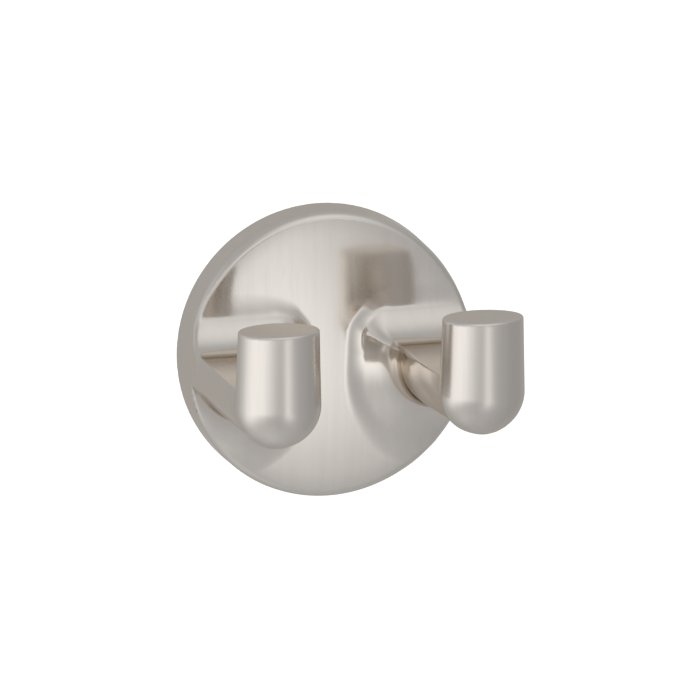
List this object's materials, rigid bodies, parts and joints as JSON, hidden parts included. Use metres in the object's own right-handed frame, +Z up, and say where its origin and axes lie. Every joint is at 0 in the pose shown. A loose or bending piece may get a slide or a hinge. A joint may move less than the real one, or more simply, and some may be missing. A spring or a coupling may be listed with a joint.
{
  "type": "double robe hook",
  "caption": "Round wall rosette with flat-topped arms that flare from its face and end in upright rounded posts, for hanging robes and towels; it fixes over a hidden bracket.",
  "frame": {"origin": "centre of the rosette's back, in the plane of the wall", "axes": "+X to the right as the viewer faces the wall, +Y into the wall, +Z up"},
  "size_m": [0.064, 0.057, 0.064],
  "materials": {
    "satin_nickel": "brushed satin nickel plate",
    "zinc_bracket": "bare zinc casting, dull",
    "black_steel": "plain alloy steel"
  },
  "bodies": {
    "root": {"hook_body": "satin_nickel", "mounting_bracket": "zinc_bracket", "set_screw": "black_steel"}
  },
  "joints": []
}
